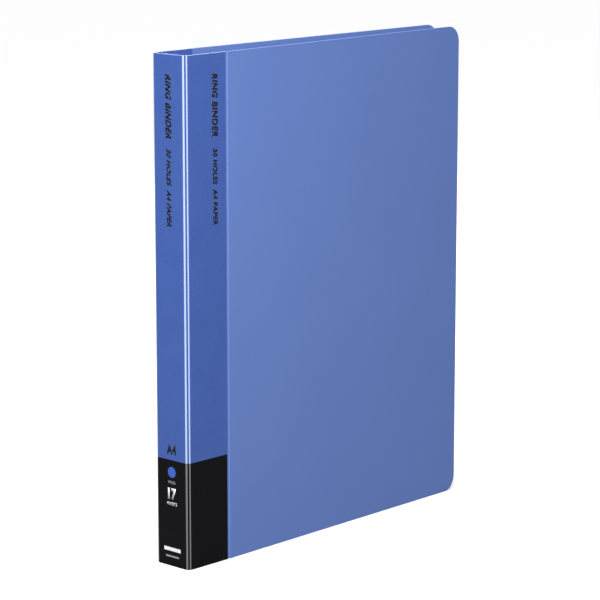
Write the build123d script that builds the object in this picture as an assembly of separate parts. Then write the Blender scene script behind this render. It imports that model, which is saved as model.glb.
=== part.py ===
"""An A4 ring binder for pockets with thirty holes: a scored plastic cover round a plastic ring fixture.

The binder stands closed on its lower edge. X runs from the spine to the free edges, Y from the front cover
to the back cover, and Z up. Until a piece is placed, x is counted from the spine's outer face and y from
the middle of the spine.
"""
from build123d import *
import os
from math import asin, atan, atan2, degrees, sqrt

# The cover, one plastic sheet scored along four upright lines
cover_height = 307.0
cover_width = 250.0  # spine face to free edge, closed
spine_width = 28.0  # over both covers, at the spine
sheet = 1.0
corner_radius = 3.0  # outside radius of the two spine corners
crease_gap = 0.4  # between the two halves of a scored corner
strip_width = 34.0  # spine face to the middle of the hinge groove
groove_width = 2.4
web_thickness = 0.4  # what is left of the sheet in the hinge groove
web_gap = 0.3
free_corner_radius = 10.0

# The rings, a fixed half on the pockets' side and a hinged half on the spine's side
hole_pitch = 9.5
hole_margin = 13.0  # least height between a cover's end and the nearest ring
ring_front_clearance = 1.9  # ring to the front cover
ring_back_clearance = 0.7  # ring circle to the back cover
ring_spine_room = 6.3  # ring to the spine, where the hinged half swings
ring_thickness = 2.2
ring_width = 3.0
ring_edge_radius = 0.6
widest_edge = 0.45  # largest edge radius, as a share of the section's side
tip_overlap = 9.0  # degrees that each half reaches past the other at the tips
tip_gap = 2.0  # degrees
tip_side_gap = 0.3

# The base that carries the rings, riveted to the back cover
base_height = 5.1
base_top_wall = 1.4
base_side_wall = 1.2
base_overhang = 6.25  # past the middle of the last ring
running_gap = 0.35  # between pieces that move past each other

# The hinge of the comb of half rings
pin_radius = 1.0
pin_clearance = 0.05
knuckle_radius = 2.2
knuckle_length = 4.0
knuckle_cover_gap = 0.4
ear_radius = 2.0
ear_length = 4.6
ear_count = 5
rail_height = 2.0
rail_thickness = 2.2

# The release levers and the comb's feet that they lift
foot_reach = 8.0
foot_height = 1.2
foot_length = 3.0
foot_drop = 0.4  # foot's underside above the hinge pin's centre
nose_height = 1.2
nose_width = 2.0
nose_gap = 0.3
nose_reach = 9.3
lever_pin_radius = 0.8
lever_pivot_height = 2.3  # above the back cover
lever_pivot_inset = 2.0  # from the base's end
lever_hub_radius = 1.8
tab_reach = 5.4
tab_thickness = 1.6
tab_pocket_clearance = 0.4

# Rivets through the base and the back cover
rivet_count = 4
rivet_radius = 1.45
rivet_clearance = 0.05
rivet_head_radius = 4.0
rivet_head_height = 0.7
rivet_end_radius = 2.4
rivet_end_height = 0.6
washer_radius = 3.2
washer_thickness = 0.5
boss_radius = 3.0

# The pockets
pocket_count = 17
pocket_thickness = 0.3
pocket_pitch = 0.6
pocket_hole_radius = 2.75
pocket_hole_inset = 6.0
pocket_edge_margin = 3.4  # inside the cover's free edge
pocket_bottom_margin = 1.6
pocket_top_margin = 5.4
pocket_corner_radius = 2.0
pocket_side_clearance = 3.5  # to the nearer cover at the free edge
pocket_rivet_clearance = 0.35

# The space inside the cover
inside_half = spine_width / 2 - sheet
base_top = inside_half - base_height
rivet_end_y = base_top - washer_thickness - rivet_end_height
stack_thickness = (pocket_count - 1) * pocket_pitch + pocket_thickness
stack_middle = min(0, rivet_end_y - pocket_rivet_clearance - stack_thickness / 2)
stack_back = stack_middle + stack_thickness / 2
panel_run = cover_width - strip_width
panel_drop = inside_half - (stack_thickness - stack_back) - pocket_side_clearance
panel_lean = degrees(atan(panel_drop / panel_run))
panel_length = sqrt(panel_run**2 + panel_drop**2)

# The ring circle
ring_outer = inside_half - (ring_front_clearance + ring_back_clearance) / 2
ring_inner = ring_outer - ring_thickness
ring_middle = (ring_outer + ring_inner) / 2
ring_x = sheet + ring_spine_room + ring_outer
ring_y = inside_half - ring_back_clearance - ring_outer
ring_centre = (ring_x, ring_y)
ring_count = int((cover_height - 2 * hole_margin) / hole_pitch) + 1
ring_first_z = (cover_height - (ring_count - 1) * hole_pitch) / 2
ring_heights = [ring_first_z + i * hole_pitch for i in range(ring_count)]
ring_last_z = ring_heights[-1]

# The hinge pin lies where the ring's outer circle runs down to the base
pin_y = inside_half - knuckle_cover_gap - knuckle_radius
pin_x = ring_x - sqrt(ring_outer**2 - (pin_y - knuckle_radius / 2 - ring_y) ** 2)
comb_root_angle = degrees(atan2(pin_y - ring_y, pin_x - ring_x))
base_left = pin_x + knuckle_radius + running_gap
base_right = ring_x + sqrt(ring_outer**2 - (base_top - ring_y) ** 2)
base_root_angle = degrees(asin((base_top - ring_y) / ring_inner))
base_low_z = ring_first_z - base_overhang
base_high_z = ring_last_z + base_overhang

# The top lever; the bottom one is its mirror image
lever_y = inside_half - lever_pivot_height
lever_z = base_high_z - lever_pivot_inset
foot_z = ring_last_z - hole_pitch / 2
foot_under = pin_y - foot_drop
foot_end = pin_x + foot_reach
nose_end = foot_end - nose_gap
nose_start = nose_end - nose_width
tab_rise = lever_y - stack_back - tab_pocket_clearance - tab_thickness / 2

# What the whole binder measures, for its origin
middle_x = cover_width / 2
middle_y = rivet_head_height / 2
middle_height = Plane.XY.offset(cover_height / 2)


def gaps_between_rings(count, first):
    """Heights of so many gaps between rings, spread evenly, the first and last so many rings from the ends."""
    run = ring_count - 2 - 2 * first
    steps = [first + round(run * i / (count - 1)) for i in range(count)]
    return [ring_first_z + (step + 0.5) * hole_pitch for step in steps]


ear_heights = gaps_between_rings(ear_count, 1)
rivet_heights = gaps_between_rings(rivet_count, 4)


def slab(x0, x1, y0, y1):
    """A flat rectangle between these limits."""
    return Pos((x0 + x1) / 2, (y0 + y1) / 2) * Rectangle(x1 - x0, y1 - y0)


def block(x0, x1, y0, y1, z0, z1):
    """A box between these limits."""
    return Pos(0, 0, z0) * extrude(slab(x0, x1, y0, y1), z1 - z0)


def sector(centre, inner, outer, start, end):
    """A flat piece of a ring between two radii and two angles."""
    far = CenterArc(centre, outer, start, end - start)
    near = CenterArc(centre, inner, start, end - start)
    return make_face([far, near, Line(near @ 0, far @ 0), Line(near @ 1, far @ 1)])


def across(radius, x, z, y0, y1):
    """A round bar from front to back."""
    return Pos(x, y1, z) * extrude(Plane.XZ * Circle(radius), y1 - y0)


def both_ends(shape):
    """The shape at the top end of the binder, and its mirror image at the bottom end."""
    return [shape, mirror(shape, about=middle_height)]


# The cover


def panel():
    """The flat front panel with its two rounded free corners, leaning in from the hinge groove."""
    start = groove_width / 2
    outline = slab(start, panel_length, 0, cover_height)
    outline = fillet(outline.vertices().sort_by(Axis.X)[-2:], free_corner_radius)
    flat = extrude(Plane.XZ * outline, -sheet)
    return Pos(strip_width, -spine_width / 2) * (Rot(0, 0, panel_lean) * flat)


def corner_half(start, end):
    """Half of the rounded front corner of the spine."""
    centre = (corner_radius, corner_radius - spine_width / 2)
    return sector(centre, corner_radius - sheet, corner_radius, start, end)


def crease_angle():
    """Half the gap of a scored corner, as an angle at the corner's outer radius."""
    return degrees(crease_gap / 2 / corner_radius)


def hinge_strip():
    """The front strip from the scored corner to the groove, with the groove's thin web."""
    outer = -spine_width / 2
    inner = outer + sheet
    strip_end = strip_width - groove_width / 2
    web_end = strip_width + groove_width / 2 - web_gap
    profile = corner_half(225 + crease_angle(), 270)
    profile += slab(corner_radius, strip_end, outer, inner)
    profile += slab(strip_end - sheet, web_end, inner - web_thickness, inner)
    return extrude(profile, cover_height)


def back_hinge_strip():
    """The same strip at the back, drilled for the rivets."""
    strip = mirror(hinge_strip(), about=Plane.XZ)
    hole = rivet_radius + rivet_clearance
    drills = [across(hole, ring_x, z, 0, spine_width) for z in rivet_heights]
    return strip - drills


def spine_panel():
    """The spine, with its half of each rounded corner."""
    straight = spine_width / 2 - corner_radius
    half = corner_half(180, 225 - crease_angle())
    profile = slab(0, sheet, -straight, straight) + half + mirror(half, about=Plane.XZ)
    return extrude(profile, cover_height)


# The ring fixture


def ring_arc(width, start, end):
    """A ring's arc between two angles, with rounded edges as far as its section has room for them."""
    edge = min(ring_edge_radius, widest_edge * width, widest_edge * ring_thickness)
    section = Plane.XZ * (Pos(ring_middle, 0) * RectangleRounded(ring_thickness, width, edge))
    arc = Rot(0, 0, start) * revolve(section, Axis.Z, end - start)
    return Pos(ring_x, ring_y) * arc


def half_rings(start, end, tip_from, tip_to, tip_side):
    """The arcs of one side, each with a narrow tip that passes beside the other half's tip."""
    tip_width = (ring_width - tip_side_gap) / 2
    tip_middle = tip_side * (tip_side_gap + tip_width) / 2
    ring = ring_arc(ring_width, start, end) + Pos(0, 0, tip_middle) * ring_arc(tip_width, tip_from, tip_to)
    return [Pos(0, 0, z) * ring for z in ring_heights]


def lever_slots():
    """Cuts in the top end of the base for the comb's foot, the lever's nose and the lever's hub and tab."""
    inner_left = base_left + base_side_wall
    inner_right = base_right - base_side_wall
    above = base_top - 1
    under_wall = base_top + base_top_wall
    foot_low = foot_z - foot_length / 2 - running_gap
    foot_high = foot_z + foot_length / 2 + running_gap
    hub_low = lever_z - lever_hub_radius - running_gap
    foot_deep = foot_under + running_gap
    slot_end = foot_end + running_gap
    foot_slot = block(base_left - 1, slot_end, above, foot_deep, foot_low, foot_high)
    nose_slot = block(nose_start - nose_gap, slot_end, above, under_wall, foot_low, hub_low + 1)
    hub_slot = block(inner_left, inner_right, above, under_wall, hub_low, base_high_z + 1)
    return [foot_slot, nose_slot, hub_slot]


def lever_bore(radius):
    """A bar across the base at the top lever's pivot."""
    bar = extrude(Plane.YZ * Circle(radius), base_right - base_left)
    return Pos(base_left, lever_y, lever_z) * bar


def ring_base():
    """The channel on the back cover, with the fixed half rings, the hinge's ears and the rivet bosses."""
    length = base_high_z - base_low_z
    inner_left = base_left + base_side_wall
    inner_right = base_right - base_side_wall
    under_wall = base_top + base_top_wall
    outside = slab(base_left, base_right, base_top, inside_half)
    channel = Pos(0, 0, base_low_z) * extrude(outside, length)
    hollow = block(inner_left, inner_right, under_wall, spine_width, base_low_z - 1, base_high_z + 1)
    arc_start = -90 + tip_overlap + tip_gap
    arcs = half_rings(arc_start, base_root_angle, -90 - tip_overlap, arc_start + 1, -1)
    ear = Pos(pin_x, pin_y) * Circle(ear_radius)
    ear += slab(pin_x, base_left + base_side_wall / 2, pin_y - ear_radius / 2, pin_y + ear_radius)
    ear = extrude(ear, ear_length)
    ears = [Pos(0, 0, z - ear_length / 2) * ear for z in ear_heights]
    bosses = [across(boss_radius, ring_x, z, base_top, inside_half) for z in rivet_heights]
    base = channel + arcs - hollow + ears + bosses
    cuts = [across(rivet_radius + rivet_clearance, ring_x, z, 0, spine_width) for z in rivet_heights]
    cuts.append(Pos(pin_x, pin_y, 0) * extrude(Circle(pin_radius + pin_clearance), cover_height))
    for slot in lever_slots():
        cuts += both_ends(slot)
    cuts += both_ends(lever_bore(lever_pin_radius + pin_clearance))
    return base - cuts


def ring_comb():
    """The hinged half rings on one rail, with a knuckle at each ring and a foot near each end."""
    arc_end = 270 - tip_overlap - tip_gap
    arcs = half_rings(comb_root_angle, arc_end, arc_end - 1, 270 + tip_overlap, 1)
    knuckle = extrude(Pos(pin_x, pin_y) * Circle(knuckle_radius), knuckle_length)
    knuckles = [Pos(0, 0, z - knuckle_length / 2) * knuckle for z in ring_heights]
    rail_low = pin_y - ear_radius - knuckle_cover_gap
    rail_middle = rail_low - rail_height / 2
    rail_outer = ring_x - sqrt(ring_outer**2 - (rail_middle - ring_y) ** 2)
    rail_right = rail_outer + rail_thickness
    ends = (ring_first_z - knuckle_length / 2, ring_last_z + knuckle_length / 2)
    rail = block(rail_outer, rail_right, rail_low - rail_height, rail_low, *ends)
    foot = slab(pin_x, foot_end, foot_under - foot_height, foot_under)
    foot += Pos(pin_x, pin_y) * Circle(knuckle_radius)
    foot += slab(pin_x - knuckle_radius, rail_right, rail_low, pin_y)
    foot = Pos(0, 0, foot_z - foot_length / 2) * extrude(foot, foot_length)
    comb = rail + arcs + knuckles + both_ends(foot)
    bore = extrude(Circle(pin_radius + pin_clearance), cover_height)
    return comb - Pos(pin_x, pin_y) * bore


def hinge_pin():
    """The steel pin through the comb's knuckles and the base's ears."""
    length = ring_last_z - ring_first_z + knuckle_length + 2 * running_gap
    low = ring_first_z - knuckle_length / 2 - running_gap
    return Pos(pin_x, pin_y, low) * extrude(Circle(pin_radius), length)


def release_lever():
    """The top lever: its nose lies under the comb's foot, and its tab stands out past the base's end."""
    left = base_left + base_side_wall + running_gap
    right = base_right - base_side_wall - running_gap
    nose_top = foot_under + nose_gap
    tab_length = sqrt(tab_reach**2 + tab_rise**2)
    tab_turn = degrees(atan2(tab_rise, tab_reach))
    tab = Rot(0, 0, 90 + tab_turn) * (Pos(tab_length / 2, 0) * Rectangle(tab_length, tab_thickness))
    side = extrude(Plane.YZ * (Circle(lever_hub_radius) + tab), right - left)
    lever = Pos(left, lever_y, lever_z) * side
    lever += block(nose_start, nose_end, nose_top, nose_top + nose_height, lever_z - nose_reach, lever_z)
    return lever - lever_bore(lever_pin_radius + pin_clearance)


def rivet(z):
    """A rivet with its flat head outside the back cover and its formed end on the washer."""
    back = spine_width / 2
    shank = across(rivet_radius, ring_x, z, rivet_end_y, back + rivet_head_height)
    head = across(rivet_head_radius, ring_x, z, back, back + rivet_head_height)
    return shank + head + across(rivet_end_radius, ring_x, z, rivet_end_y, base_top - washer_thickness)


def washer(z):
    """The washer under a rivet's formed end."""
    disc = across(washer_radius, ring_x, z, base_top - washer_thickness, base_top)
    return disc - across(rivet_radius + rivet_clearance, ring_x, z, 0, spine_width)


# The pockets


def pocket():
    """One pocket sheet, with its holes' line on x = 0 and its middle plane on y = 0."""
    width = cover_width - pocket_edge_margin - (ring_x + ring_middle - pocket_hole_inset)
    start = -pocket_hole_inset
    outline = slab(start, start + width, pocket_bottom_margin, cover_height - pocket_top_margin)
    outline = fillet(outline.vertices(), pocket_corner_radius)
    outline -= [Pos(0, z) * Circle(pocket_hole_radius) for z in ring_heights]
    return extrude(Plane.XZ * outline, pocket_thickness / 2, both=True)


def place_pocket(sheet_shape, number):
    """The pocket moved to its layer in the stack, with its holes on the ring circle."""
    y = stack_middle + (number - (pocket_count - 1) / 2) * pocket_pitch
    x = ring_x + sqrt(ring_middle**2 - (y - ring_y) ** 2)
    return Pos(x, y) * sheet_shape


def build():
    """Every piece by name."""
    front = panel()
    levers = both_ends(release_lever())
    pieces = {
        "front_panel": front,
        "front_hinge_strip": hinge_strip(),
        "spine_panel": spine_panel(),
        "back_hinge_strip": back_hinge_strip(),
        "back_panel": mirror(front, about=Plane.XZ),
        "ring_base": ring_base(),
        "ring_comb": ring_comb(),
        "hinge_pin": hinge_pin(),
        "top_release_lever": levers[0],
        "bottom_release_lever": levers[1],
        "lever_pins": Compound(both_ends(lever_bore(lever_pin_radius))),
        "rivets": Compound([rivet(z) for z in rivet_heights]),
        "rivet_washers": Compound([washer(z) for z in rivet_heights]),
    }
    sheet_shape = pocket()
    for number in range(pocket_count):
        pieces[f"pocket_{number + 1:02d}"] = place_pocket(sheet_shape, number)
    return pieces


os.makedirs("parts", exist_ok=True)
for name, shape in build().items():
    export_step(Pos(-middle_x, -middle_y) * shape, f"parts/{name}.step")
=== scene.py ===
import bmesh
import bpy
from math import atan2, cos, hypot, pi, radians, sqrt
from mathutils import Matrix, Vector


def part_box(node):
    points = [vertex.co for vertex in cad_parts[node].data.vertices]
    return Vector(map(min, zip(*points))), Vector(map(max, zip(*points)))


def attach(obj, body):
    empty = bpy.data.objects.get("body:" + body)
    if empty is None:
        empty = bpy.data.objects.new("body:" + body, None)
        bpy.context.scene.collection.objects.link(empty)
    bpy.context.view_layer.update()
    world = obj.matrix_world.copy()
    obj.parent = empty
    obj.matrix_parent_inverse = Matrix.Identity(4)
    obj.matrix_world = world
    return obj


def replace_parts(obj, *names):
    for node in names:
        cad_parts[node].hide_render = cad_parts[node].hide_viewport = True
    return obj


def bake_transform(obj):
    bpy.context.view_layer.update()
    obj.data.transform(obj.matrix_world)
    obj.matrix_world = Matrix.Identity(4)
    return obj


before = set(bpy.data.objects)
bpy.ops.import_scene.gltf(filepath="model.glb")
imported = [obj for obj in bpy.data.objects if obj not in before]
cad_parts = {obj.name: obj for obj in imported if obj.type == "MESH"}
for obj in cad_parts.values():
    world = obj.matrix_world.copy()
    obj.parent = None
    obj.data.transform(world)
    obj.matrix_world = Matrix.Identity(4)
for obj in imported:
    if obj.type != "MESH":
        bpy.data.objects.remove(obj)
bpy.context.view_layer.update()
mm = 0.001


# The cover's hinge band: spine, two rounded corners and two strips. It is one sheet of polypropylene with
# a smooth calendered face, scored along the corners, and its lowest part is printed black. It is made as
# two halves that meet flush at the middle of the spine, each drawn round its scored corner.

sheet = 1.0 * mm
corner_radius = 3.0 * mm
corner_steps = 24
score_depth = 0.35 * mm
score_steps = 2  # of the corner's steps, on each side of the score
crease_gap = 0.4 * mm
strip_width = 34.0 * mm
groove_width = 2.4 * mm
rim_radius = 0.18 * mm
print_top = 65.5 * mm
# Where the pale lines beside each score lie: painted highlights, partly the sheet's stress whitening.
whitening_and_highlight_lines = ((25, 14), (64, 10))  # middle and half width, in degrees round a corner
least_sharp_edge = 40  # degrees

spine_low, spine_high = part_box("spine_panel")
height = spine_high.z
spine_face = spine_low.x
middle_y = (spine_low.y + spine_high.y) / 2
front_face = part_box("front_hinge_strip")[0].y
groove_x = spine_face + strip_width
band_end = groove_x - groove_width / 2
corner_centre = Vector((spine_face + corner_radius, front_face + corner_radius, 0))


def colour(hex_code):
    """A linear colour from an sRGB hex code."""
    parts = [int(hex_code[i : i + 2], 16) / 255 for i in (1, 3, 5)]
    return [p / 12.92 if p <= 0.04045 else ((p + 0.055) / 1.055) ** 2.4 for p in parts] + [1.0]


def add_node(material, kind, settings=None, inputs=None):
    """Adds a node with its settings; an input is a value or another node's output."""
    tree = material.node_tree
    node = tree.nodes.new(kind)
    for name, value in (settings or {}).items():
        setattr(node, name, value)
    for name, value in (inputs or {}).items():
        if isinstance(value, bpy.types.NodeSocket):
            tree.links.new(value, node.inputs[name])
        else:
            node.inputs[name].default_value = value
    return node


def new_material(name):
    """An empty node material, and the object coordinates that its patterns read."""
    material = bpy.data.materials.new(name)
    material.use_nodes = True
    material.node_tree.nodes.clear()
    place = add_node(material, "ShaderNodeTexCoord")
    return material, place


def noise(material, place, size, detail=2.0):
    """Noise with spots of about this size."""
    inputs = {"Vector": place.outputs["Object"], "Scale": 1 / size, "Detail": detail}
    return add_node(material, "ShaderNodeTexNoise", {}, inputs).outputs["Fac"]


def spread(material, value, low, high, start=0.0, end=1.0):
    """A value between start and end spread over low to high."""
    inputs = {"Value": value, "From Min": start, "From Max": end, "To Min": low, "To Max": high}
    return add_node(material, "ShaderNodeMapRange", {}, inputs).outputs["Result"]


def mix(material, factor, first, second):
    """Two colours mixed by a factor."""
    inputs = {"Factor": factor, "A": first, "B": second}
    node = add_node(material, "ShaderNodeMix", {"data_type": "RGBA", "blend_type": "MIX"})
    sockets = {s.name: s for s in node.inputs if s.enabled}
    for name, value in inputs.items():
        if isinstance(value, bpy.types.NodeSocket):
            material.node_tree.links.new(value, sockets[name])
        else:
            sockets[name].default_value = value
    return next(s for s in node.outputs if s.enabled)


def bump(material, relief, depth):
    """The surface normal with a relief of this depth in metres."""
    inputs = {"Height": relief, "Distance": depth, "Strength": 1.0}
    return add_node(material, "ShaderNodeBump", {}, inputs).outputs["Normal"]


def finish_material(material, **inputs):
    """Closes the material with one Principled shader."""
    sockets = {name.replace("_", " "): value for name, value in inputs.items()}
    shader = add_node(material, "ShaderNodeBsdfPrincipled", {}, sockets)
    add_node(material, "ShaderNodeOutputMaterial", {}, {"Surface": shader.outputs["BSDF"]})
    return material


def draw_out(mesh, edge, steps, run=(0, 0, 0), turn=0.0, about=(0, 0, 0)):
    """Draws the sheet's cross edge along a straight run or round a corner, and returns the new end."""
    geometry = [edge, *edge.verts]
    step = Vector(run) / steps
    spun = bmesh.ops.spin(
        mesh, geom=geometry, cent=about, axis=(0, 0, 1), dvec=step, angle=radians(turn), steps=steps
    )
    return next(item for item in spun["geom_last"] if isinstance(item, bmesh.types.BMEdge))


def start_sheet(outer, inner):
    """A mesh that holds the cross edge from which a sheet is drawn out."""
    mesh = bmesh.new()
    edge = mesh.edges.new([mesh.verts.new(outer), mesh.verts.new(inner)])
    return mesh, edge


def raise_sheet(mesh):
    """Raises the flat section to the cover's height, as a closed solid."""
    bmesh.ops.remove_doubles(mesh, verts=mesh.verts, dist=0.001 * mm)
    raised = bmesh.ops.extrude_face_region(mesh, geom=mesh.faces[:])["geom"]
    verts = [item for item in raised if isinstance(item, bmesh.types.BMVert)]
    bmesh.ops.translate(mesh, verts=verts, vec=(0, 0, height))
    bmesh.ops.recalc_face_normals(mesh, faces=mesh.faces)


def round_rims(mesh, is_cut, seams):
    """Rounds the edges of the sheet's cut faces, except at the seams, given as (axis, place)."""
    rims = []
    for edge in mesh.edges:
        at_seam = any(all(abs(v.co[axis] - place) < 0.01 * mm for v in edge.verts) for axis, place in seams)
        if not at_seam and len({is_cut(face.normal) for face in edge.link_faces}) == 2:
            rims.append(edge)
    bmesh.ops.bevel(mesh, geom=rims, offset=rim_radius, segments=3, profile=0.5, affect="EDGES", material=-1)


def add_piece(name, mesh, material):
    """Makes the mesh a smooth-shaded object whose flat faces stay flat."""
    data = bpy.data.meshes.new(name)
    mesh.to_mesh(data)
    mesh.free()
    for face in data.polygons:
        face.use_smooth = True
    data.set_sharp_from_angle(angle=radians(least_sharp_edge))
    data.materials.append(material)
    piece = bpy.data.objects.new(name, data)
    bpy.context.scene.collection.objects.link(piece)
    weighted = piece.modifiers.new("flat faces", "WEIGHTED_NORMAL")
    weighted.keep_sharp = True
    return piece


def turn_to_back(mesh):
    """Mirrors a front piece to the back of the cover."""
    place = Matrix.Translation((0, -middle_y, 0))
    bmesh.ops.scale(mesh, verts=mesh.verts, vec=(1, -1, 1), space=place)
    bmesh.ops.recalc_face_normals(mesh, faces=mesh.faces)


def calculate(material, operation, first, second=0.0):
    """One sum on a pattern's values."""
    node = add_node(material, "ShaderNodeMath", {"operation": operation}, {0: first, 1: second})
    return node.outputs["Value"]


def line_at(material, angle, middle, half_width):
    """A soft-edged line round an angle, in degrees."""
    aside = calculate(material, "ABSOLUTE", calculate(material, "SUBTRACT", angle, radians(middle)))
    return spread(material, aside, 1, 0, radians(0.55 * half_width), radians(half_width))


def beside_score(material, place):
    """How far a point lies within the two lines beside a scored corner, from 0 to 1."""
    apart = add_node(material, "ShaderNodeSeparateXYZ", {}, {"Vector": place.outputs["Object"]})
    left = calculate(material, "SUBTRACT", corner_centre.x, apart.outputs["X"])
    aside = calculate(material, "SUBTRACT", apart.outputs["Y"], middle_y)
    from_middle = calculate(material, "ABSOLUTE", aside)
    out = calculate(material, "SUBTRACT", from_middle, middle_y - corner_centre.y)
    angle = calculate(material, "ARCTAN2", out, left)
    first, second = [line_at(material, angle, *line) for line in whitening_and_highlight_lines]
    return calculate(material, "MAXIMUM", first, second)


# Calendered polypropylene: satin, a little waxy, with very shallow ripples and a faint cloudiness of the
# pigment. Its cut ends are paler, partly as a painted highlight on the rims, and beside the scores it has
# pale lines that are painted highlights, partly the sheet's stress whitening where it was folded.
band_material, place = new_material("Smooth calendered polypropylene sheet")
cloud = noise(band_material, place, 14 * mm, 4.0)
grain = noise(band_material, place, 0.5 * mm)
facing = add_node(band_material, "ShaderNodeSeparateXYZ", {}, {"Vector": place.outputs["Normal"]})
plain = mix(band_material, cloud, colour("#3D589E"), colour("#4360A8"))
upright = calculate(band_material, "ABSOLUTE", facing.outputs["Z"])
# The cut faces are paler: partly the cut sheet's own paleness, partly a painted highlight along the rims.
edged = mix(band_material, spread(band_material, upright, 0, 1, 0.35, 0.8), plain, colour("#8FA9DF"))
# Two pale lines beside each score: painted highlights of the rounded corner, partly stress whitening.
stress_pale_and_painted_highlight = spread(band_material, beside_score(band_material, place), 0, 0.8)
finish_material(
    band_material,
    Base_Color=mix(band_material, stress_pale_and_painted_highlight, edged, colour("#BFD0EE")),
    Roughness=spread(band_material, grain, 0.24, 0.32),
    IOR=1.49,
    Normal=bump(band_material, cloud, 0.02 * mm),
)

# Black screen print over the same sheet: a thin, even film of ink with the sheet's own sheen, with grey
# painted highlights beside the scores.
print_material, place = new_material("Black print on polypropylene sheet")
cloud = noise(print_material, place, 14 * mm, 4.0)
speckle = noise(print_material, place, 0.4 * mm)
ink = mix(print_material, cloud, colour("#040305"), colour("#070608"))
# Grey lines beside the scores: painted highlights on the black ink.
rubbed_and_painted_highlight = spread(print_material, beside_score(print_material, place), 0, 0.5)
finish_material(
    print_material,
    Base_Color=mix(print_material, rubbed_and_painted_highlight, ink, colour("#97979C")),
    Roughness=spread(print_material, speckle, 0.24, 0.32),
    IOR=1.45,
    Specular_IOR_Level=0.3,
    Normal=bump(print_material, cloud, 0.02 * mm),
)


def half_band(name, to_back):
    """Half of the spine, one corner and one strip."""
    mesh, end = start_sheet((spine_face, middle_y, 0), (spine_face + sheet, middle_y, 0))
    end = draw_out(mesh, end, 1, run=(0, corner_centre.y - middle_y, 0))
    end = draw_out(mesh, end, corner_steps, turn=90, about=corner_centre)
    draw_out(mesh, end, 1, run=(band_end - corner_centre.x, 0, 0))
    middle = Vector((-1, -1, 0)).normalized()
    for vert in mesh.verts:
        reach = vert.co - corner_centre
        aside = abs(reach.angle(middle)) / radians(90 / corner_steps) if reach.length > 0 else score_steps
        if reach.length > corner_radius - 0.1 * sheet and aside < score_steps:
            vert.co -= reach.normalized() * score_depth * (1 - aside / score_steps)
    raise_sheet(mesh)
    round_rims(mesh, lambda normal: abs(normal.z) > 0.9, [(1, middle_y), (0, band_end)])
    everything = [*mesh.verts, *mesh.edges, *mesh.faces]
    bmesh.ops.bisect_plane(mesh, geom=everything, plane_co=(0, 0, print_top), plane_no=(0, 0, 1))
    mesh.normal_update()
    for face in mesh.faces:
        outside = face.normal.x + face.normal.y < -0.6
        face.material_index = int(outside and face.calc_center_median().z < print_top)
    along_crease = Vector((1, -1, 0)).normalized() * crease_gap / 2
    crease = corner_centre + middle * corner_radius
    start, stop = crease - along_crease, crease + along_crease
    if to_back:
        turn_to_back(mesh)
        start.y = 2 * middle_y - start.y
        stop.y = 2 * middle_y - stop.y
    piece = add_piece(name, mesh, band_material)
    piece.data.materials.append(print_material)
    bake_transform(piece)
    return piece


front_band = half_band("front_half_of_spine_and_strip", False)
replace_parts(front_band, "spine_panel", "front_hinge_strip")
back_band = half_band("back_half_of_spine_and_strip", True)
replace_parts(back_band, "back_hinge_strip")


# The front and back panels: the same polypropylene sheet, embossed with a fine matte grain, with the
# pressed hinge groove along one side. The free corners are rounded and the cut edges lightly eased.

groove_steps = 12
groove_depth = 0.6 * mm
free_corner_radius = 10.0 * mm
panel_low, panel_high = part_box("front_panel")
panel_run = panel_high.x - groove_x
panel_drop = panel_high.y - panel_low.y - sheet
panel_length = hypot(panel_run, panel_drop)
panel_lean = atan2(panel_drop, panel_run)

# Embossed polypropylene: matte, with a grain of about 0.4 mm drawn a little coarse so that it shows, soft
# differences in the pigment, and paler cut edges, partly a painted highlight along the rims.
panel_material, place = new_material("Matte embossed polypropylene sheet")
cloud = noise(panel_material, place, 60 * mm, 3.0)
grain = noise(panel_material, place, 0.6 * mm, 3.0)
facing = add_node(panel_material, "ShaderNodeSeparateXYZ", {}, {"Vector": place.outputs["Normal"]})
plain = mix(panel_material, cloud, colour("#5B76B8"), colour("#617DBF"))
grained = mix(panel_material, spread(panel_material, grain, 0.0, 0.12, 0.35, 0.65), plain, colour("#7790CB"))
across = calculate(panel_material, "ABSOLUTE", facing.outputs["Y"])
# The cut faces are paler: partly the cut sheet's own paleness, partly a painted highlight along the rims.
cut_face = spread(panel_material, across, 1, 0, 0.1, 0.7)
edged = mix(panel_material, cut_face, grained, colour("#8FA9DF"))
finish_material(
    panel_material,
    Base_Color=edged,
    Roughness=spread(panel_material, grain, 0.46, 0.60),
    IOR=1.49,
    Normal=bump(panel_material, grain, 0.03 * mm),
)


def panel(name, to_back):
    """One panel with the hinge groove."""
    mesh, end = start_sheet((band_end, front_face, 0), (band_end, front_face + sheet, 0))
    end = draw_out(mesh, end, groove_steps, run=(groove_width, 0, 0))
    draw_out(mesh, end, 1, run=(panel_length - groove_width / 2, 0, 0))
    for vert in mesh.verts:
        share = (vert.co.x - band_end) / groove_width
        if vert.co.y < front_face + sheet / 2 and share < 1:
            vert.co.y += groove_depth * (1 - cos(2 * pi * share)) / 2
    raise_sheet(mesh)
    far = groove_x + panel_length
    free = [e for e in mesh.edges if all(abs(v.co.x - far) < 0.01 * mm for v in e.verts)]
    short = [e for e in free if e.calc_length() < 2 * sheet]
    bmesh.ops.bevel(
        mesh, geom=short, offset=free_corner_radius, segments=20, profile=0.5, affect="EDGES", material=-1
    )
    mesh.normal_update()
    round_rims(mesh, lambda normal: abs(normal.y) < 0.3, [(0, band_end)])
    pivot = Vector((groove_x, front_face, 0))
    for vert in mesh.verts:
        share = min(1, max(0, (vert.co.x - band_end) / groove_width))
        vert.co = pivot + Matrix.Rotation(panel_lean * share, 3, "Z") @ (vert.co - pivot)
    if to_back:
        turn_to_back(mesh)
    piece = add_piece(name, mesh, panel_material)
    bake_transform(piece)
    return piece


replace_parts(panel("front_cover_panel", False), "front_panel")
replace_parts(panel("back_cover_panel", True), "back_panel")


# The printing on the spine and the front strip: screen-printed ink, a film that stands just proud of the
# sheet. The words and signs are plain, general ones.

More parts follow.
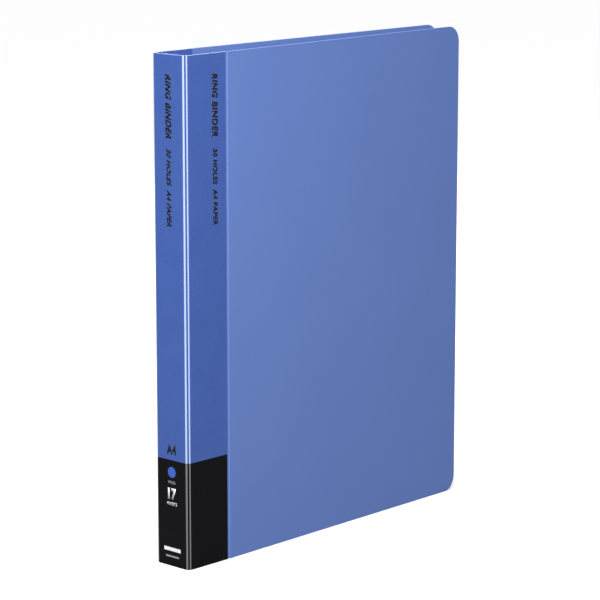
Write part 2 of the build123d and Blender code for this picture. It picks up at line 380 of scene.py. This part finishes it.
ink_height = 0.03 * mm
front_print_x = spine_face + 24 * mm
spine_side = Matrix(((0, 0, -1), (-1, 0, 0), (0, 1, 0)))  # reads level on the spine
spine_down = Matrix(((0, 0, -1), (0, -1, 0), (-1, 0, 0)))  # reads down the spine
front_down = Matrix(((0, 1, 0), (0, 0, -1), (-1, 0, 0)))  # reads down the front strip


def ink_material(name, hex_code, rubbed_hex):
    """Printing ink: an even satin film, a little thinner in places."""
    material, place = new_material(name)
    film = spread(material, noise(material, place, 1.5 * mm, 3.0), 0, 1, 0.35, 0.75)
    tone = mix(material, film, colour(hex_code), colour(rubbed_hex))
    speckle = noise(material, place, 0.3 * mm)
    rough = spread(material, speckle, 0.35, 0.5)
    relief = bump(material, speckle, 0.004 * mm)
    return finish_material(material, Base_Color=tone, Roughness=rough, Normal=relief)


black_ink = ink_material("Black screen-printing ink", "#060609", "#0B0B10")
white_ink = ink_material("White screen-printing ink", "#F4F4F6", "#DFE0E5")
grey_ink = ink_material("Grey screen-printing ink", "#9FA1A8", "#8B8D95")
blue_ink = ink_material("Blue screen-printing ink", "#3E63C4", "#3457B2")


def add_print(name, mesh_data, turn, centre, length, cap, material, body):
    """Fits a flat shape to a length and height, and lays it on the sheet."""
    mesh = bmesh.new()
    mesh.from_mesh(mesh_data)
    raised = bmesh.ops.extrude_face_region(mesh, geom=mesh.faces[:])["geom"]
    moved = [item for item in raised if isinstance(item, bmesh.types.BMVert)]
    bmesh.ops.translate(mesh, verts=moved, vec=(0, 0, 1))
    low = Vector([min(v.co[i] for v in mesh.verts) for i in range(3)])
    high = Vector([max(v.co[i] for v in mesh.verts) for i in range(3)])
    bmesh.ops.translate(mesh, verts=mesh.verts, vec=(-(low.x + high.x) / 2, -(low.y + high.y) / 2, -low.z))
    size = (length / (high.x - low.x), cap / (high.y - low.y), ink_height)
    bmesh.ops.scale(mesh, verts=mesh.verts, vec=size)
    bmesh.ops.recalc_face_normals(mesh, faces=mesh.faces)
    bmesh.ops.transform(mesh, verts=mesh.verts, matrix=Matrix.Translation(centre) @ turn.to_4x4())
    data = bpy.data.meshes.new(name)
    mesh.to_mesh(data)
    mesh.free()
    data.materials.append(material)
    piece = bpy.data.objects.new(name, data)
    bpy.context.scene.collection.objects.link(piece)
    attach(piece, body)
    return piece


def words(text, shear=0.0, weight=0.03, spacing=1.0):
    """The flat shapes of some letters."""
    curve = bpy.data.curves.new("words", "FONT")
    curve.body = text
    curve.shear = shear
    curve.offset = weight
    curve.space_character = spacing
    curve.resolution_u = 6
    lettering = bpy.data.objects.new("words", curve)
    bpy.context.scene.collection.objects.link(lettering)
    bpy.context.view_layer.update()
    shapes = bpy.data.meshes.new_from_object(lettering.evaluated_get(bpy.context.evaluated_depsgraph_get()))
    bpy.data.objects.remove(lettering)
    return shapes


def disc(sides):
    """A flat round or straight-sided spot."""
    mesh = bmesh.new()
    turned = Matrix.Rotation(pi / sides, 4, "Z")
    bmesh.ops.create_circle(mesh, cap_ends=True, segments=sides, radius=1, matrix=turned)
    data = bpy.data.meshes.new("disc")
    mesh.to_mesh(data)
    mesh.free()
    return data


def on_spine(z):
    """A place in the middle of the spine."""
    return (spine_face, middle_y, z)


def on_strip(z):
    """A place on the front strip's line of print."""
    return (front_print_x, front_face, z)


title_shear = 0.25
title_weight = 0.05
title_spacing = 1.12
title = words("RING BINDER", title_shear, title_weight, title_spacing)
subtitle = words("30 HOLES  A4 PAPER", title_shear, title_weight, title_spacing)
a4 = words("A4", weight=0.045, spacing=1.15)
seventeen = words("17", weight=0.05, spacing=1.1)
holds = words("HOLDS", weight=0.01)
pockets = words("POCKETS", weight=0.01)
dot = disc(48)
bar = disc(4)

# Each print's height up the cover, its length and its depth across the letters are in millimetres.
prints = (
    ("spine_title", title, spine_down, on_spine, 276.6, 37.8, 5.0, black_ink, "spine"),
    ("spine_subtitle", subtitle, spine_down, on_spine, 229, 46, 4.0, black_ink, "spine"),
    ("front_title", title, front_down, on_strip, 276.7, 37.4, 5.0, black_ink, "front_strip"),
    ("front_subtitle", subtitle, front_down, on_strip, 228.7, 45.4, 4.0, black_ink, "front_strip"),
    ("spine_paper_size", a4, spine_side, on_spine, 72.1, 8.0, 6.4, black_ink, "spine"),
    ("spine_pocket_number", seventeen, spine_side, on_spine, 44.6, 6.9, 7.2, white_ink, "spine"),
    ("spine_dot", dot, spine_side, on_spine, 58, 6.6, 6.6, blue_ink, "spine"),
    ("spine_small_word_above", holds, spine_side, on_spine, 51.8, 6.0, 1.8, grey_ink, "spine"),
    ("spine_small_word_below", pockets, spine_side, on_spine, 38.6, 8.4, 1.9, white_ink, "spine"),
    ("spine_white_rule", bar, spine_side, on_spine, 10.4, 14.0, 2.2, white_ink, "spine"),
    ("spine_grey_rule", bar, spine_side, on_spine, 6.0, 11.0, 1.0, grey_ink, "spine"),
)
for name, shape, turn, on_part, z, length, cap, material, body in prints:
    add_print(name, shape, turn, on_part(z * mm), length * mm, cap * mm, material, body)


# The ring base and the comb of half rings: injection-moulded ABS, charcoal, satin where the mould was
# spark-eroded. The base is riveted to the back strip, and the comb turns on its steel pin.

moulded_material, place = new_material("Moulded charcoal ABS")
spark = noise(moulded_material, place, 0.35 * mm, 3.0)
flow = noise(moulded_material, place, 9 * mm, 4.0)
tone = mix(moulded_material, flow, colour("#2E3138"), colour("#383C45"))
rubbed_and_painted_highlight = mix(moulded_material, spread(moulded_material, spark, 0, 0.3, 0.5, 0.8), tone, colour("#4A4F59"))
finish_material(
    moulded_material,
    Base_Color=rubbed_and_painted_highlight,
    Roughness=spread(moulded_material, spark, 0.34, 0.5),
    IOR=1.54,
    Normal=bump(moulded_material, spark, 0.02 * mm),
)


def finish_nodes(material, *names):
    """Gives pieces that keep their own mesh their material."""
    for name in names:
        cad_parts[name].data.materials.clear()
        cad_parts[name].data.materials.append(material)


finish_nodes(moulded_material, "ring_base", "ring_comb")


# The two release levers: injection-moulded ABS in a lighter grey, so that the thumb finds them. Each
# rocks on its pin in the end of the base, and lifts a foot of the comb.

lever_material, place = new_material("Moulded grey ABS")
spark = noise(lever_material, place, 0.3 * mm, 3.0)
flow = noise(lever_material, place, 6 * mm, 4.0)
tone = mix(lever_material, flow, colour("#8A8F99"), colour("#979CA6"))
finish_material(
    lever_material,
    Base_Color=mix(lever_material, spread(lever_material, spark, 0, 0.4, 0.5, 0.8), tone, colour("#A9AEB7")),
    Roughness=spread(lever_material, spark, 0.36, 0.52),
    IOR=1.54,
    Normal=bump(lever_material, spark, 0.02 * mm),
)
finish_nodes(lever_material, "top_release_lever", "bottom_release_lever")


# The hinge pin, the lever pins and the washers: drawn or stamped steel with a bright zinc plating, which
# is slightly cloudy and carries fine marks from tumbling.

plated_material, place = new_material("Zinc-plated steel")
cloudy = noise(plated_material, place, 2.5 * mm, 5.0)
scratches = noise(plated_material, place, 0.15 * mm, 2.0)
finish_material(
    plated_material,
    Base_Color=mix(plated_material, cloudy, colour("#B4B8BD"), colour("#C9CDD2")),
    Metallic=1.0,
    Roughness=spread(plated_material, cloudy, 0.22, 0.4),
    Normal=bump(plated_material, scratches, 0.006 * mm),
)
finish_nodes(plated_material, "hinge_pin", "lever_pins", "rivet_washers")


# The four rivets that hold the ring base to the back strip: nickel-plated steel with a low domed head
# outside the cover, and a formed end on the washer inside.

rivet_low, rivet_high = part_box("rivets")
ring_pitch = 9.5 * mm
rivet_gaps = (0, 7, 13, 20)  # ring pitches from the lowest rivet
head_radius = 4.0 * mm
head_height = 0.7 * mm
shank_radius = 1.45 * mm
end_radius = 2.4 * mm
end_height = 0.6 * mm

nickel_material, place = new_material("Nickel-plated steel")
tarnish = noise(nickel_material, place, 3 * mm, 5.0)
marks = noise(nickel_material, place, 0.12 * mm, 2.0)
finish_material(
    nickel_material,
    Base_Color=mix(nickel_material, tarnish, colour("#C3BFB6"), colour("#D6D2CA")),
    Metallic=1.0,
    Roughness=spread(nickel_material, tarnish, 0.16, 0.34),
    Normal=bump(nickel_material, marks, 0.004 * mm),
)

rivets = bmesh.new()
rivet_x = (rivet_low.x + rivet_high.x) / 2
cover_back = rivet_high.y - head_height
for gap in rivet_gaps:
    z = rivet_low.z + head_radius + gap * ring_pitch
    section = [
        (0, rivet_high.y),
        (0.55 * head_radius, rivet_high.y - 0.12 * head_height),
        (0.88 * head_radius, rivet_high.y - 0.5 * head_height),
        (head_radius, cover_back + 0.1 * head_height),
        (head_radius, cover_back),
        (shank_radius, cover_back),
        (shank_radius, rivet_low.y + end_height),
        (end_radius, rivet_low.y + end_height),
        (end_radius, rivet_low.y + 0.3 * end_height),
        (0.8 * end_radius, rivet_low.y),
        (0, rivet_low.y + 0.4 * end_height),
    ]
    verts = [rivets.verts.new((rivet_x + radius, y, z)) for radius, y in section]
    edges = [rivets.edges.new(pair) for pair in zip(verts, verts[1:])]
    centre = (rivet_x, 0, z)
    bmesh.ops.spin(
        rivets, geom=verts + edges, cent=centre, axis=(0, 1, 0), angle=2 * pi, steps=40, use_merge=True
    )
bmesh.ops.remove_doubles(rivets, verts=rivets.verts, dist=0.001 * mm)
bmesh.ops.recalc_face_normals(rivets, faces=rivets.faces)
rivet_piece = add_piece("cover_rivets", rivets, nickel_material)
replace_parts(rivet_piece, "rivets")
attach(rivet_piece, "back_strip_and_ring_base")


# The seventeen pockets. Each is two clear films over a white card, welded to each other at the foot and
# along the free side, and to a stiffer white strip that is punched for the rings.

pocket_count = 17
strip_reach = 15.0 * mm  # width of the punched strip
weld_width = 3.0 * mm
seam_width = 1.2 * mm  # where the films are welded to the strip

# Extruded white polypropylene: satin and opaque, with faint lines along the strip.
strip_material, place = new_material("White polypropylene strip")
along = {"Vector": place.outputs["Object"], "Scale": (1, 1, 0.02)}
drawn = add_node(strip_material, "ShaderNodeMapping", {}, along)
closeness = {"Vector": drawn.outputs["Vector"], "Scale": 1 / (0.6 * mm)}
lines = add_node(strip_material, "ShaderNodeTexNoise", {}, closeness).outputs["Fac"]
finish_material(
    strip_material,
    Base_Color=mix(strip_material, lines, colour("#B9BDC5"), colour("#C9CCD3")),
    Roughness=spread(strip_material, lines, 0.34, 0.46),
    IOR=1.49,
    Normal=bump(strip_material, lines, 0.01 * mm),
)

# Clear film over a white card: glossy and gently rippled, with the card's fibre showing through.
window_material, place = new_material("Clear polypropylene film over white card")
ripple = noise(window_material, place, 45 * mm, 2.0)
fibre = noise(window_material, place, 1.2 * mm, 3.0)
fleck = spread(window_material, fibre, 0, 1, 0.3, 0.7)
paper = mix(window_material, fleck, colour("#A8AFBB"), colour("#B7BDC8"))
finish_material(
    window_material,
    Base_Color=paper,
    Roughness=spread(window_material, ripple, 0.12, 0.24),
    IOR=1.49,
    Normal=bump(window_material, ripple, 0.9 * mm),
)

# Welded film with nothing behind it: greyer, with the cross ribs of the welding bar about 1 mm apart.
weld_material, place = new_material("Welded polypropylene film")
ribs = add_node(
    weld_material,
    "ShaderNodeTexWave",
    {"wave_type": "BANDS", "bands_direction": "DIAGONAL"},
    {"Vector": place.outputs["Object"], "Scale": 0.314 / (1.0 * mm), "Distortion": 0.4},
).outputs["Fac"]
finish_material(
    weld_material,
    Base_Color=mix(weld_material, ribs, colour("#7F8A9B"), colour("#9BA5B4")),
    Roughness=spread(weld_material, ribs, 0.2, 0.34),
    IOR=1.49,
    Normal=bump(weld_material, ribs, 0.05 * mm),
)


def cut_along(mesh, axis, place):
    """Cuts the faces of a pocket along a straight line across it."""
    normal = [float(i == axis) for i in range(3)]
    everything = [*mesh.verts, *mesh.edges, *mesh.faces]
    point = [place * part for part in normal]
    bmesh.ops.bisect_plane(mesh, geom=everything, plane_co=point, plane_no=normal)


def pocket(name):
    """One pocket in its sheet's outline: strip, film over card, and welds."""
    low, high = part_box(name)
    mesh = bmesh.new()
    mesh.from_mesh(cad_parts[name].data)
    bmesh.ops.remove_doubles(mesh, verts=mesh.verts, dist=0.001 * mm)
    strip_end = low.x + strip_reach
    seam_end = strip_end + seam_width
    side_weld = high.x - weld_width
    foot_weld = low.z + weld_width
    for axis, line in ((0, strip_end), (0, seam_end), (0, side_weld), (2, foot_weld)):
        cut_along(mesh, axis, line)
    for face in mesh.faces:
        at = face.calc_center_median()
        is_weld = at.x < seam_end or at.x > side_weld or at.z < foot_weld
        face.material_index = 0 if at.x < strip_end else 2 if is_weld else 1
    data = bpy.data.meshes.new(name + "_film_and_card")
    mesh.to_mesh(data)
    mesh.free()
    for material in (strip_material, window_material, weld_material):
        data.materials.append(material)
    piece = bpy.data.objects.new(name + "_film_and_card", data)
    bpy.context.scene.collection.objects.link(piece)
    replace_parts(piece, name)
    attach(piece, name)


for number in range(1, pocket_count + 1):
    pocket(f"pocket_{number:02d}")


# The studio: a white floor, an even surround, a narrow light at each side, a soft key light, a soft light
# behind and a high soft sun. The floor is white to the eye, and throws back less of the light, as a floor
# that ends near the binder would.

floor_reach = 20
surround_strength = 0.33
sun_strength = 2.35
sun_width = 50  # degrees

floor_material = new_material("White studio floor")[0]
seen = add_node(floor_material, "ShaderNodeLightPath")
lit = add_node(floor_material, "ShaderNodeBsdfDiffuse", {}, {"Color": colour("#FBFBFB")})
dim = add_node(floor_material, "ShaderNodeBsdfDiffuse", {}, {"Color": colour("#6C6C6E")})
both = {0: seen.outputs["Is Camera Ray"], 1: dim.outputs["BSDF"], 2: lit.outputs["BSDF"]}
floor_shader = add_node(floor_material, "ShaderNodeMixShader", {}, both)
add_node(floor_material, "ShaderNodeOutputMaterial", {}, {"Surface": floor_shader.outputs["Shader"]})
floor_mesh = bmesh.new()
bmesh.ops.create_grid(floor_mesh, x_segments=1, y_segments=1, size=floor_reach)
floor_data = bpy.data.meshes.new("floor")
floor_mesh.to_mesh(floor_data)
floor_mesh.free()
floor_data.materials.append(floor_material)
floor = bpy.data.objects.new("floor", floor_data)
bpy.context.scene.collection.objects.link(floor)

world = bpy.data.worlds.new("surround")
world.use_nodes = True
world.node_tree.nodes["Background"].inputs["Color"].default_value = (1, 1, 1, 1)
world.node_tree.nodes["Background"].inputs["Strength"].default_value = surround_strength
bpy.context.scene.world = world
bpy.context.scene.view_settings.view_transform = "Standard"


def aim(lamp, azimuth, elevation, distance):
    """Places a lamp round the middle of the spine's front corner and turns it there."""
    target = Vector((spine_face, front_face, height / 2))
    flat = cos(radians(elevation))
    away = Matrix.Rotation(radians(azimuth), 3, "Z") @ Vector((0, -flat, sqrt(1 - flat**2)))
    lamp.location = target + away * distance
    lamp.rotation_euler = away.to_track_quat("Z", "Y").to_euler()
    bpy.context.scene.collection.objects.link(lamp)


def soft_light(name, azimuth, elevation, distance, width, depth, power):
    """A rectangular soft light."""
    light = bpy.data.lights.new(name, "AREA")
    light.shape = "RECTANGLE"
    light.size = width
    light.size_y = depth
    light.energy = power
    aim(bpy.data.objects.new(name, light), azimuth, elevation, distance)


# Each light's turn and height in degrees, then its distance, width and depth in metres, and its watts.
for light in (
    ("left strip light", -84, 12, 1.3, 0.07, 1.3, 4.2),
    ("right strip light", -10, 12, 1.3, 0.05, 1.3, 2.5),
    ("key softbox", -42, 34, 0.75, 0.4, 0.4, 5.2),
    ("back softbox", 150, 30, 1.5, 1.0, 1.0, 11),
):
    soft_light(*light)
sun = bpy.data.lights.new("high soft sun", "SUN")
sun.energy = sun_strength
sun.angle = radians(sun_width)
aim(bpy.data.objects.new("high soft sun", sun), azimuth=-60, elevation=66, distance=3)

camera_turn = -46.726
camera_pitch = 11.244
camera_lens = 159.53
camera_place = (spine_face - 1.0621, front_face - 1.0907, 0.4668)
camera_data = bpy.data.cameras.new("camera")
camera_data.sensor_width = 36
camera_data.lens = camera_lens
camera = bpy.data.objects.new("camera", camera_data)
camera.location = camera_place
camera.rotation_euler = (radians(90 - camera_pitch), 0, radians(camera_turn))
bpy.context.scene.collection.objects.link(camera)
bpy.context.scene.camera = camera
